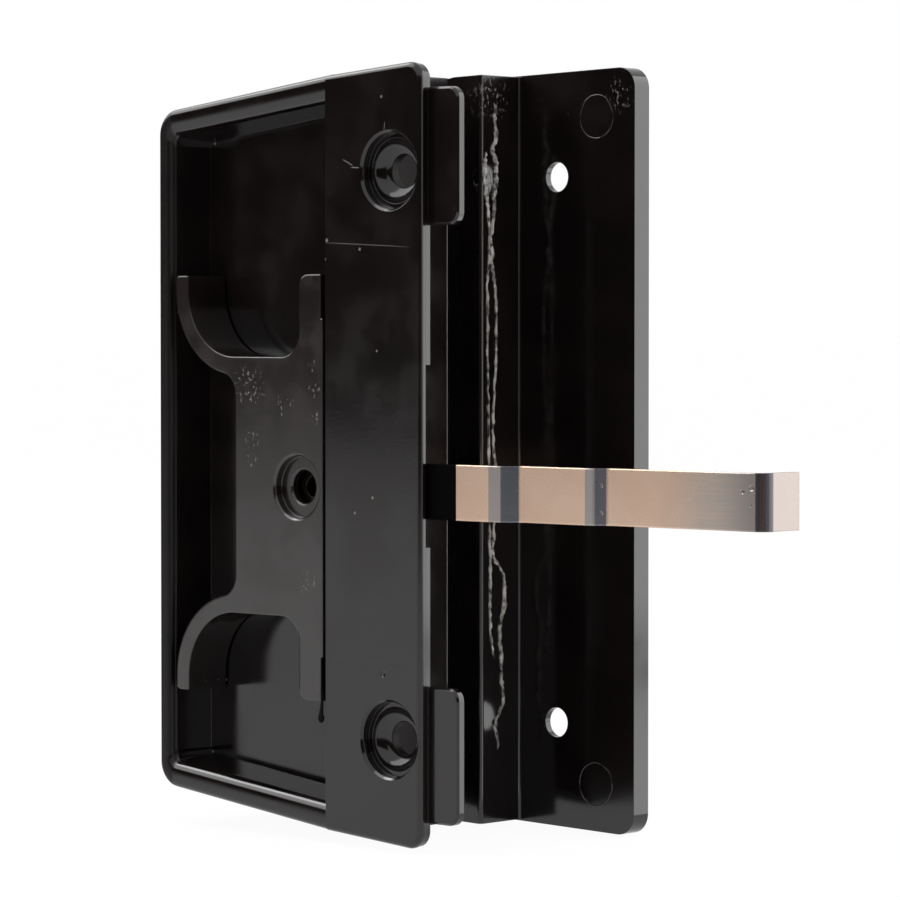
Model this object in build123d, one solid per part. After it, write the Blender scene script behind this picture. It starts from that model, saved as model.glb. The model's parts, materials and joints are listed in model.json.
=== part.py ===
from build123d import *
import os
from dataclasses import dataclass
from math import atan2, degrees, sqrt

# Sliding screen door latch and pull, in millimetres.
# X runs towards the door's edge, Y from the room to the outside, Z up.
# The origin is on the face of the inside flange, midway between its two screws.
# The door's stile stands between the inside ears and the outside plate.

# Door and screws
STILE_THICKNESS = 38.6
SCREW_SPACING = 95.25

# Outline of the inside pull: half height at its right end, and how far it falls towards the left
FLANGE_RIGHT = 7.3
FLANGE_LEFT = -15.0
BODY_LEFT = -58.5
HALF_AT_RIGHT = 65.8
FALL_TO_STEP = 1.7
FALL_TO_LEFT = 7.1
FLANGE_CORNER = 3.0
BODY_CORNER = 3.6

# Inside flange: a face layer and a skirt layer behind it
FACE_LAYER = 1.3
SKIRT_LAYER = 1.25
SKIRT_INSET = 0.15
FLANGE_EDGE_ROUND = 0.9

# Ears that bear on the stile
EAR_REACH = 14.0
EAR_ROOT = 3.0
EAR_NEAR = 38.4
EAR_FAR = 61.3
EAR_FACE = 2.0
EAR_THICKNESS = 1.5
EAR_CORNER = 2.2
EAR_EDGE_CHAMFER = 0.35

# Rim, cup and box, which both pulls share
RIM_SETBACK = 2.0
RIM_WIDTH = 3.8
RIM_THICKNESS = 2.3
RIM_OUTER_ROUND = 2.0
RIM_INNER_ROUND = 0.8
CUP_DRAFT = 1.3
CUP_CORNER = 2.4
BOX_RIGHT = -8.75
BOX_INSET = 0.2
BOX_EDGE_ROUND = 0.8
WALL = 2.0
FLOOR_THICKNESS = 2.0
INSIDE_CUP_DEPTH = 9.6
INSIDE_BOX_DEPTH = 24.1
OUTSIDE_CUP_DEPTH = 12.4

# Outside plate
PLATE_THICKNESS = 4.3
PLATE_RIGHT = 17.85
PLATE_HALF_AT_RIGHT = 66.2
PLATE_FALL_TO_STEP = 0.8
PLATE_FALL_TO_LEFT = 6.6
PLATE_CORNER = 3.6
PLATE_EDGE_CHAMFER = 0.5
PLATE_HOLE_RADIUS = 2.6
PLATE_SINK_RADIUS = 5.6
PANEL_RIGHT = -14.3
PANEL_MARGIN = 3.0
PANEL_DEPTH = 0.4
PLATE_FOOT_ROUND = 0.5

# Screw recesses of the inside flange
RECESS_LIP_RADIUS = 6.8
RECESS_RADIUS = 6.4
RECESS_DEPTH = 1.75
BOWL_RADIUS = 5.5
BOWL_BOTTOM = 3.8
BOWL_SAG = 0.5
SCREW_HOLE_RADIUS = 2.85
DIMPLE_BOTTOM = 5.4
DIMPLE_WALL = 1.2

# Sliding thumb pieces: a plate with a finger notch at each end
SLIDE_REST = -5.85
SLIDE_TRAVEL = 10.4
SLIDE_PLATE = 1.8
SLIDE_GAP = 0.7
SLIDE_HALF = 36.3
WEB_LEFT = -37.0
ARM_WIDTH = 5.6
ARM_CORNER = 2.0
ARM_RELIEF = 0.5
ARM_RELIEF_LENGTH = 7.5
NOTCH_DEPTH = 14.1
NOTCH_LEFT = -49.0
NOTCH_LEFT_RADIUS = 11.5
NOTCH_RIGHT_RADIUS = 4.4
HORN_WIDTH = 3.0
HORN_END_ROUND = 1.0
NECK_RADIUS = 4.0
FINGER_WALL = 1.6
FINGER_WALL_STEP = 0.3
FLOOR_CLEARANCE = 0.3
RAIL_WIDTH = 1.8
RAIL_START = 17.0
RAIL_DIP = 0.8
RAIL_SIDE_CLEARANCE = 0.2
RAIL_END_CLEARANCE = 0.4
GROOVE_DEPTH = 1.2

# Hub of the inside slide
HUB_X = -22.0
HUB_LIP_RADIUS = 5.7
HUB_RECESS_RADIUS = 5.35
HUB_RECESS_DEPTH = 1.7
HUB_FLOOR = 1.3
HUB_WALL = 1.0
HUB_BORE_RADIUS = 2.8
HUB_BORE_ROUND = 0.3
CHANNEL_RIB = 1.5
CHANNEL_RIB_BACK = 4.0
CHANNEL_CLEARANCE = 0.15
CHANNEL_LEFT = -30.0

# Post of the outside slide
POST_RADIUS = 4.8
POST_CLEARANCE = 0.3
PILOT_RADIUS = 1.8
PILOT_DEPTH = 14.0

# Steel hook
STRIP_WIDTH = 9.2
STRIP_THICKNESS = 1.2
STRIP_FACE = 1.6
STRIP_ROOT = -28.5
STRIP_ROOT_ROUND = 3.0
STRIP_END_GAP = 0.2
STRIP_RUNNING_GAP = 0.3
ROOT_STEP_X = -14.4
FIRST_STEP_X = 23.6
FIRST_STEP = 2.35
SECOND_STEP_X = 41.55
SECOND_STEP = 1.85
LEG_FACE_X = 75.65
LEG_END = 14.7
BEND_RADIUS = 1.8

# Values that follow from the ones above
SCREW_Z = SCREW_SPACING / 2
HALF_AT_STEP = HALF_AT_RIGHT - FALL_TO_STEP
HALF_AT_LEFT = HALF_AT_RIGHT - FALL_TO_LEFT
PLATE_HALF_AT_STEP = PLATE_HALF_AT_RIGHT - PLATE_FALL_TO_STEP
PLATE_HALF_AT_LEFT = PLATE_HALF_AT_RIGHT - PLATE_FALL_TO_LEFT
STILE_FACE = EAR_FACE + EAR_THICKNESS
PLATE_FACE = STILE_FACE + STILE_THICKNESS
OUTSIDE_FACE = PLATE_FACE + PLATE_THICKNESS
INSIDE_FLOOR_BACK = INSIDE_CUP_DEPTH + FLOOR_THICKNESS
OUTSIDE_BOX_DEPTH = OUTSIDE_CUP_DEPTH + FLOOR_THICKNESS
CUP_RIGHT = BOX_RIGHT - WALL
FLANGE_DEPTH = FACE_LAYER + SKIRT_LAYER
SLIDE_RIGHT = FLANGE_LEFT - SLIDE_GAP
ARM_LEFT = SLIDE_RIGHT - ARM_WIDTH
ARM_RELIEF_START = SLIDE_HALF - ARM_RELIEF_LENGTH
NOTCH_FLOOR = SLIDE_HALF - NOTCH_DEPTH
STRIP_AT_HUB = HUB_RECESS_DEPTH + HUB_FLOOR
STRIP_BACK_AT_HUB = STRIP_AT_HUB + STRIP_THICKNESS
PASSAGE_BACK = STRIP_FACE + STRIP_THICKNESS + STRIP_RUNNING_GAP
PASSAGE_HALF = SLIDE_TRAVEL + STRIP_WIDTH / 2 + STRIP_END_GAP

# How far a cut runs on past the solid it opens
OVER = 1.0


@dataclass
class Outline:
    """A pull seen from the front: half heights at its left end, its flange's edge and its right end."""

    at_left: float
    at_step: float
    at_right: float
    right: float

    def half(self, x):
        """Half height at a place along X."""
        if x < FLANGE_LEFT:
            share = (x - BODY_LEFT) / (FLANGE_LEFT - BODY_LEFT)
            return self.at_left + share * (self.at_step - self.at_left)
        share = (x - FLANGE_LEFT) / (self.right - FLANGE_LEFT)
        return self.at_step + share * (self.at_right - self.at_step)

    def band(self, left, right, inset=0.0):
        """The stretch between two places along X, with its sloping ends drawn in."""
        low = self.half(left) - inset
        high = self.half(right) - inset
        return Polygon((left, -low), (right, -high), (right, high), (left, low), align=None)

    def body(self, right, corner, inset):
        """The part left of the flange, run on under the flange to a place along X."""
        seen = round_left(self.band(BODY_LEFT + inset, FLANGE_LEFT, inset), corner)
        return seen + self.band(FLANGE_LEFT, right, inset)


INSIDE_OUTLINE = Outline(HALF_AT_LEFT, HALF_AT_STEP, HALF_AT_RIGHT, FLANGE_RIGHT)
OUTSIDE_OUTLINE = Outline(PLATE_HALF_AT_LEFT, PLATE_HALF_AT_STEP, PLATE_HALF_AT_RIGHT, PLATE_RIGHT)


def slab(sketch, near, far):
    """A sketch drawn in X and Z, filled from Y = near to Y = far."""
    return extrude(Plane.XZ.offset(-near) * sketch, amount=near - far)


def rect(x0, x1, z0, z1):
    """A rectangle between two corners."""
    return Pos((x0 + x1) / 2, (z0 + z1) / 2) * Rectangle(x1 - x0, z1 - z0)


def turned(points, x, z):
    """An outline of (radius, Y) points spun about a line along Y at X, Z."""
    face = make_face(Polyline(*points, close=True))
    return Pos(x, 0, z) * revolve(face, Axis.Y)


def disc(radius, near, far, x, z):
    """A round bar along Y."""
    return turned([(0, near), (radius, near), (radius, far), (0, far)], x, z)


def both(shape):
    """A shape and its reflection above and below the middle."""
    return shape + mirror(shape, Plane.XY)


def both_ends(sketch):
    """A sketch and its reflection above and below the middle."""
    return sketch + mirror(sketch, Plane.XZ)


def round_left(sketch, radius):
    """Rounds the two corners at the left end of a sketch."""
    return fillet(sketch.vertices().sort_by(Axis.X)[:2], radius)


def round_right(sketch, radius):
    """Rounds the two corners at the right end of a sketch."""
    return fillet(sketch.vertices().sort_by(Axis.X)[-2:], radius)


def ease_front(solid, ease, size, straight_side):
    """Fillets or chamfers the front edges, apart from the straight one at the left (0) or right (-1)."""
    edges = solid.faces().sort_by(Axis.Y)[0].edges().sort_by(Axis.X)
    kept = edges[straight_side]
    return ease([edge for edge in edges if edge is not kept], size)


def upright_edges(solid, x, y):
    """Edges along Z that stand at one place in X and Y."""
    edges = solid.edges().filter_by(Axis.Z).filter_by_position(Axis.X, x - 0.01, x + 0.01)
    return edges.filter_by_position(Axis.Y, y - 0.01, y + 0.01)


def edges_like(solid, sketch, depth):
    """Edges of a solid that lie on those of a sketch set at Y = depth."""
    wanted = [edge.center() for edge in (Plane.XZ.offset(-depth) * sketch).edges()]
    return [e for e in solid.edges() if any((e.center() - point).length < 0.02 for point in wanted)]


def cup_body(outline, cup_depth, box_depth):
    """Rim, box and drafted cup of a pull whose flange has its face at Y = 0."""
    frame = round_left(outline.band(BODY_LEFT, FLANGE_LEFT), BODY_CORNER)
    rim = ease_front(slab(frame, RIM_SETBACK, RIM_SETBACK + RIM_THICKNESS), fillet, RIM_OUTER_ROUND, -1)
    box = slab(outline.body(BOX_RIGHT, BODY_CORNER, BOX_INSET), RIM_SETBACK + RIM_OUTER_ROUND, box_depth)
    box = fillet(upright_edges(box, BOX_RIGHT, box_depth), BOX_EDGE_ROUND)
    mouth = outline.body(CUP_RIGHT, CUP_CORNER, RIM_WIDTH)
    depth = cup_depth - RIM_SETBACK
    taper = degrees(atan2(CUP_DRAFT, depth))
    cup = extrude(Plane.XZ.offset(-RIM_SETBACK) * mouth, amount=-depth, taper=taper)
    body = rim + box - cup
    lip = [e for e in edges_like(body, mouth, RIM_SETBACK) if e.center().X < FLANGE_LEFT - 1]
    return fillet(lip, RIM_INNER_ROUND)


def slide_ways(cup_depth):
    """Cuts in a cup's floor: the slot for the post and the groove for the slide's rails."""
    width = 2 * (POST_RADIUS + POST_CLEARANCE)
    slot = Pos(HUB_X, 0) * Rot(0, 0, 90) * SlotOverall(2 * SLIDE_TRAVEL + width, width)
    slot_cut = slab(slot, cup_depth - OVER, cup_depth + FLOOR_THICKNESS + OVER)
    reach = ARM_RELIEF_START + SLIDE_TRAVEL + RAIL_END_CLEARANCE
    left = SLIDE_RIGHT - RAIL_WIDTH - RAIL_SIDE_CLEARANCE
    groove = rect(left, SLIDE_RIGHT + RAIL_SIDE_CLEARANCE, -reach, reach)
    return slot_cut + slab(groove, cup_depth - OVER, cup_depth + GROOVE_DEPTH)


def screw_dimple(z):
    """Solid round a screw recess, which reaches back into the stile's hole."""
    wide = BOWL_RADIUS + DIMPLE_WALL
    narrow = SCREW_HOLE_RADIUS + DIMPLE_WALL
    rim = [(wide, FACE_LAYER), (wide, FLANGE_DEPTH), (narrow, DIMPLE_BOTTOM)]
    return turned([(0, FACE_LAYER), *rim, (0, DIMPLE_BOTTOM)], 0, z)


def screw_recess(z):
    """Lipped counterbore, round bowl and hole for a screw of the inside flange."""
    lip = RECESS_LIP_RADIUS - RECESS_RADIUS
    ledge = (BOWL_RADIUS, RECESS_DEPTH)
    hole_edge = (SCREW_HOLE_RADIUS, BOWL_BOTTOM)
    sides = Polyline((0, DIMPLE_BOTTOM + OVER), (0, -OVER), (RECESS_LIP_RADIUS, -OVER),
                     (RECESS_LIP_RADIUS, 0), (RECESS_RADIUS, lip), (RECESS_RADIUS, RECESS_DEPTH), ledge)
    bowl = SagittaArc(ledge, hole_edge, -BOWL_SAG)
    hole = Polyline(hole_edge, (SCREW_HOLE_RADIUS, DIMPLE_BOTTOM + OVER), (0, DIMPLE_BOTTOM + OVER))
    return Pos(0, 0, z) * revolve(make_face([sides, bowl, hole]), Axis.Y)


def ears():
    """The two ears that bear on the stile."""
    flat = round_right(rect(EAR_ROOT, EAR_REACH, EAR_NEAR, EAR_FAR), EAR_CORNER)
    return both(ease_front(slab(flat, EAR_FACE, STILE_FACE), chamfer, EAR_EDGE_CHAMFER, 0))


def flange():
    """Inside flange: a rounded face layer with a slightly smaller skirt layer behind it."""
    face = round_right(INSIDE_OUTLINE.band(FLANGE_LEFT, FLANGE_RIGHT), FLANGE_CORNER)
    skirt = INSIDE_OUTLINE.band(FLANGE_LEFT, FLANGE_RIGHT - SKIRT_INSET, SKIRT_INSET)
    skirt = round_right(skirt, FLANGE_CORNER - SKIRT_INSET)
    face_layer = ease_front(slab(face, 0, FACE_LAYER), fillet, FLANGE_EDGE_ROUND, 0)
    return face_layer + slab(skirt, FACE_LAYER, FLANGE_DEPTH)


def inside_pull():
    """Inside moulding: flange, ears, screw recesses, rim, cup and open-backed box."""
    body = cup_body(INSIDE_OUTLINE, INSIDE_CUP_DEPTH, INSIDE_BOX_DEPTH)
    hollow = INSIDE_OUTLINE.body(CUP_RIGHT, BODY_CORNER, BOX_INSET + WALL)
    body -= slab(hollow, INSIDE_FLOOR_BACK, INSIDE_BOX_DEPTH + OVER)
    body += flange()
    passage = rect(FLANGE_LEFT - OVER, FLANGE_RIGHT + OVER, -PASSAGE_HALF, PASSAGE_HALF)
    body -= slab(passage, FACE_LAYER, PASSAGE_BACK)
    body += ears()
    for z in (-SCREW_Z, SCREW_Z):
        body += screw_dimple(z)
        body -= screw_recess(z)
    return body - slide_ways(INSIDE_CUP_DEPTH)


def plate_hole(z):
    """Countersunk screw hole of the outside plate."""
    sink = PLATE_SINK_RADIUS - PLATE_HOLE_RADIUS
    end = PLATE_THICKNESS + OVER
    return turned([(0, -OVER), (PLATE_SINK_RADIUS, -OVER), (PLATE_SINK_RADIUS, 0), (PLATE_HOLE_RADIUS, sink),
                   (PLATE_HOLE_RADIUS, end), (0, end)], 0, z)


def outside_pull():
    """Outside moulding, built with its face at Y = 0 and then turned to face outwards."""
    body = cup_body(OUTSIDE_OUTLINE, OUTSIDE_CUP_DEPTH, OUTSIDE_BOX_DEPTH)
    plate = round_right(OUTSIDE_OUTLINE.band(FLANGE_LEFT, PLATE_RIGHT), PLATE_CORNER)
    body += ease_front(slab(plate, 0, PLATE_THICKNESS), chamfer, PLATE_EDGE_CHAMFER, 0)
    body = fillet(upright_edges(body, BOX_RIGHT, PLATE_THICKNESS), PLATE_FOOT_ROUND)
    half = PLATE_HALF_AT_LEFT - PANEL_MARGIN
    sunk = rect(BODY_LEFT + PANEL_MARGIN, PANEL_RIGHT, -half, half)
    body -= slab(sunk, OUTSIDE_BOX_DEPTH - PANEL_DEPTH, OUTSIDE_BOX_DEPTH + OVER)
    for z in (-SCREW_Z, SCREW_Z):
        body -= plate_hole(z)
    body -= slide_ways(OUTSIDE_CUP_DEPTH)
    return Pos(0, OUTSIDE_FACE, 0) * mirror(body, Plane.XZ)


def notch_sketch():
    """The finger notch at the upper end of a slide, open at its top."""
    notch = rect(NOTCH_LEFT, ARM_LEFT, NOTCH_FLOOR, SLIDE_HALF + NOTCH_LEFT_RADIUS)
    notch = fillet(notch.vertices().sort_by(Axis.Y)[:2].sort_by(Axis.X)[0], NOTCH_LEFT_RADIUS)
    return fillet(notch.vertices().sort_by(Axis.Y)[:2].sort_by(Axis.X)[1], NOTCH_RIGHT_RADIUS)


def slide_outline():
    """Outline of a thumb slide: a web with a straight arm and a curved horn at each end."""
    centre_x = NOTCH_LEFT + NOTCH_LEFT_RADIUS
    centre_z = NOTCH_FLOOR + NOTCH_LEFT_RADIUS
    horn_left = NOTCH_LEFT - HORN_WIDTH
    outer = NOTCH_LEFT_RADIUS + HORN_WIDTH
    neck_x = WEB_LEFT - NECK_RADIUS
    neck_z = centre_z - sqrt((outer + NECK_RADIUS) ** 2 - (neck_x - centre_x) ** 2)
    share = outer / (outer + NECK_RADIUS)
    meet = (centre_x + share * (neck_x - centre_x), centre_z + share * (neck_z - centre_z))
    horn = RadiusArc((horn_left, centre_z), meet, -outer)
    neck = RadiusArc(meet, (WEB_LEFT, neck_z), NECK_RADIUS)
    relieved = SLIDE_RIGHT - ARM_RELIEF
    sides = Polyline((WEB_LEFT, neck_z), (WEB_LEFT, 0), (SLIDE_RIGHT, 0), (SLIDE_RIGHT, ARM_RELIEF_START),
                     (relieved, ARM_RELIEF_START), (relieved, SLIDE_HALF), (horn_left, SLIDE_HALF),
                     (horn_left, centre_z))
    half = make_face([horn, neck, sides]) - notch_sketch()
    half = fillet(half.vertices().sort_by(Axis.Y)[-4:].sort_by(Axis.X)[2], ARM_CORNER)
    half = fillet(half.vertices().sort_by(Axis.X)[:3].sort_by(Axis.Y)[-1], HORN_END_ROUND)
    return both_ends(half)


def thumb_slide(cup_depth):
    """Plate, finger walls and guide rails that both slides share, about their own middle."""
    outline = slide_outline()
    notch = notch_sketch()
    ring = offset(notch, FINGER_WALL_STEP + FINGER_WALL) - offset(notch, FINGER_WALL_STEP)
    wall = both_ends(ring) & outline
    rail = rect(SLIDE_RIGHT - RAIL_WIDTH, SLIDE_RIGHT, RAIL_START, ARM_RELIEF_START)
    body = slab(outline, 0, SLIDE_PLATE) + slab(wall, SLIDE_PLATE, cup_depth - FLOOR_CLEARANCE)
    return body + slab(both_ends(rail), SLIDE_PLATE, cup_depth + RAIL_DIP)


def inside_slide():
    """Inside thumb slide, with the screw hub and the channel that holds the hook's root."""
    body = thumb_slide(INSIDE_CUP_DEPTH)
    within = slab(rect(WEB_LEFT, SLIDE_RIGHT, -NOTCH_FLOOR, NOTCH_FLOOR), 0, STRIP_AT_HUB)
    body += disc(HUB_LIP_RADIUS + HUB_WALL, 0, STRIP_AT_HUB, HUB_X, 0) & within
    edge = STRIP_WIDTH / 2 + CHANNEL_CLEARANCE
    rib = rect(CHANNEL_LEFT, SLIDE_RIGHT, edge, edge + CHANNEL_RIB)
    body += slab(both_ends(rib), SLIDE_PLATE, CHANNEL_RIB_BACK)
    lip = HUB_LIP_RADIUS - HUB_RECESS_RADIUS
    flare = HUB_BORE_RADIUS + HUB_BORE_ROUND
    body -= turned([(0, -OVER), (HUB_LIP_RADIUS, -OVER), (HUB_LIP_RADIUS, 0), (HUB_RECESS_RADIUS, lip),
                    (HUB_RECESS_RADIUS, HUB_RECESS_DEPTH), (flare, HUB_RECESS_DEPTH),
                    (HUB_BORE_RADIUS, HUB_RECESS_DEPTH + HUB_BORE_ROUND),
                    (HUB_BORE_RADIUS, STRIP_AT_HUB + OVER), (0, STRIP_AT_HUB + OVER)], HUB_X, 0)
    return Pos(0, 0, SLIDE_REST) * body


def outside_slide():
    """Outside thumb slide, with the post that reaches through both floors to the hook."""
    length = OUTSIDE_FACE - STRIP_BACK_AT_HUB
    body = thumb_slide(OUTSIDE_CUP_DEPTH)
    body += disc(POST_RADIUS, SLIDE_PLATE, length, HUB_X, 0)
    body -= disc(PILOT_RADIUS, length - PILOT_DEPTH, length + OVER, HUB_X, 0)
    return Pos(0, OUTSIDE_FACE, SLIDE_REST) * mirror(body, Plane.XZ)


def latch_hook():
    """Steel strip with three steps and a turned-in end, swept along its bends."""
    half = STRIP_THICKNESS / 2
    root_step = STRIP_AT_HUB - STRIP_FACE
    y0 = STRIP_AT_HUB + half
    y1 = STRIP_FACE + half
    y2 = y1 + FIRST_STEP
    y3 = y2 + SECOND_STEP
    leg_x = LEG_FACE_X - half
    path = FilletPolyline((STRIP_ROOT, y0), (ROOT_STEP_X, y0), (ROOT_STEP_X + root_step, y1),
                          (FIRST_STEP_X, y1), (FIRST_STEP_X + FIRST_STEP, y2),
                          (SECOND_STEP_X, y2), (SECOND_STEP_X + SECOND_STEP, y3),
                          (leg_x, y3), (leg_x, LEG_END), radius=BEND_RADIUS)
    section = Plane(origin=path @ 0, z_dir=path % 0) * Rectangle(STRIP_THICKNESS, STRIP_WIDTH)
    strip = sweep(section, path)
    strip = fillet(strip.edges().filter_by(Axis.Y).sort_by(Axis.X)[:2], STRIP_ROOT_ROUND)
    strip -= disc(HUB_BORE_RADIUS, 0, LEG_END, HUB_X, 0)
    return Pos(0, 0, SLIDE_REST) * strip


def main():
    """Builds every piece and writes one file for each."""
    os.makedirs("parts", exist_ok=True)
    pieces = {
        "inside_pull": inside_pull,
        "outside_pull": outside_pull,
        "inside_slide": inside_slide,
        "outside_slide": outside_slide,
        "latch_hook": latch_hook,
    }
    for name, make in pieces.items():
        export_step(make(), f"parts/{name}.step")


if __name__ == "__main__":
    main()
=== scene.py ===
import json
import logging
from collections.abc import Callable
from dataclasses import dataclass
from enum import Enum
from math import pi, radians

import bpy
from mathutils import Euler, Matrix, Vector


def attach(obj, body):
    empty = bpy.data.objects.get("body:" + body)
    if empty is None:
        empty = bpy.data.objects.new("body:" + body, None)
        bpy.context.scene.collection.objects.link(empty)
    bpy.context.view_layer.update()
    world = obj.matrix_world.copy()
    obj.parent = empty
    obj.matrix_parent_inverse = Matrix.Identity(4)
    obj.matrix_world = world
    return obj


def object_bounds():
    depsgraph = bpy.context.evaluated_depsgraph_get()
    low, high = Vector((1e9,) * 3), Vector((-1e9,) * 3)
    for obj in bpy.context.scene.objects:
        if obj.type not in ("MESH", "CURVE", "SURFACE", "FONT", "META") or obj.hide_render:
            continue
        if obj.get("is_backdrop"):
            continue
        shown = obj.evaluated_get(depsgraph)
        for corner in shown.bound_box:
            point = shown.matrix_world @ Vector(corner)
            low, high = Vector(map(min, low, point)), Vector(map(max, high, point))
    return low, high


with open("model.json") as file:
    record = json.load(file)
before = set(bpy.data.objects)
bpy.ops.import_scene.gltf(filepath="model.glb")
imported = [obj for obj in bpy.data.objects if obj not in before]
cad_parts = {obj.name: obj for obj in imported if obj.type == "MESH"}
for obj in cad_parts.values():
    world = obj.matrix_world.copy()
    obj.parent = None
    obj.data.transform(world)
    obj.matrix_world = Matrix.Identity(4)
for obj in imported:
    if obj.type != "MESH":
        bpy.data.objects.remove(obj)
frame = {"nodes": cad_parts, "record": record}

# A sliding screen door latch and pull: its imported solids, dressed as the photograph shows them.
# X runs towards the door's edge, Y from the room to the outside, Z up, and the origin is on the
# inside flange's face. Sizes are in millimetres and become metres where a mesh, lamp or pattern
# takes them.

MM = 0.001
WHITE = (1.0, 1.0, 1.0, 1.0)
LOG = logging.getLogger("latch")
Point = tuple[float, float, float]
Socket = bpy.types.NodeSocket


class Body(Enum):
    """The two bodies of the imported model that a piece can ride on."""

    PULLS = "pulls"
    LATCH = "latch"


class Facing(Enum):
    """Which way a pull's face looks along Y."""

    ROOM = -1
    OUTDOORS = 1


class Axis(Enum):
    """A direction of the frame, by its output on a Separate XYZ node."""

    X = "X"
    Y = "Y"
    Z = "Z"


def linear(hex_colour: str) -> tuple[float, float, float, float]:
    """Turns an sRGB colour into the linear values that a socket takes.

    Args:
        hex_colour: Six hex digits after a hash, as a picture editor shows them.

    Returns:
        Red, green, blue and an alpha of one.
    """
    parts = [int(hex_colour[i:i + 2], 16) / 255 for i in (1, 3, 5)]
    red, green, blue = (c / 12.92 if c <= 0.04045 else ((c + 0.055) / 1.055) ** 2.4 for c in parts)
    return red, green, blue, 1.0


def add_node(tree: bpy.types.NodeTree, kind: str, inputs: dict | None = None,
             **settings: object) -> bpy.types.Node:
    """Adds one node to a tree.

    Args:
        tree: The tree that the node goes into.
        kind: The node's type name.
        inputs: Input names or numbers, each with a value or the output that feeds it.
        **settings: Properties of the node itself.

    Returns:
        The new node.
    """
    node = tree.nodes.new(kind)
    for name, value in settings.items():
        setattr(node, name, value)
    for key, value in (inputs or {}).items():
        if isinstance(value, Socket):
            tree.links.new(value, node.inputs[key])
        else:
            node.inputs[key].default_value = value
    return node


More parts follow.
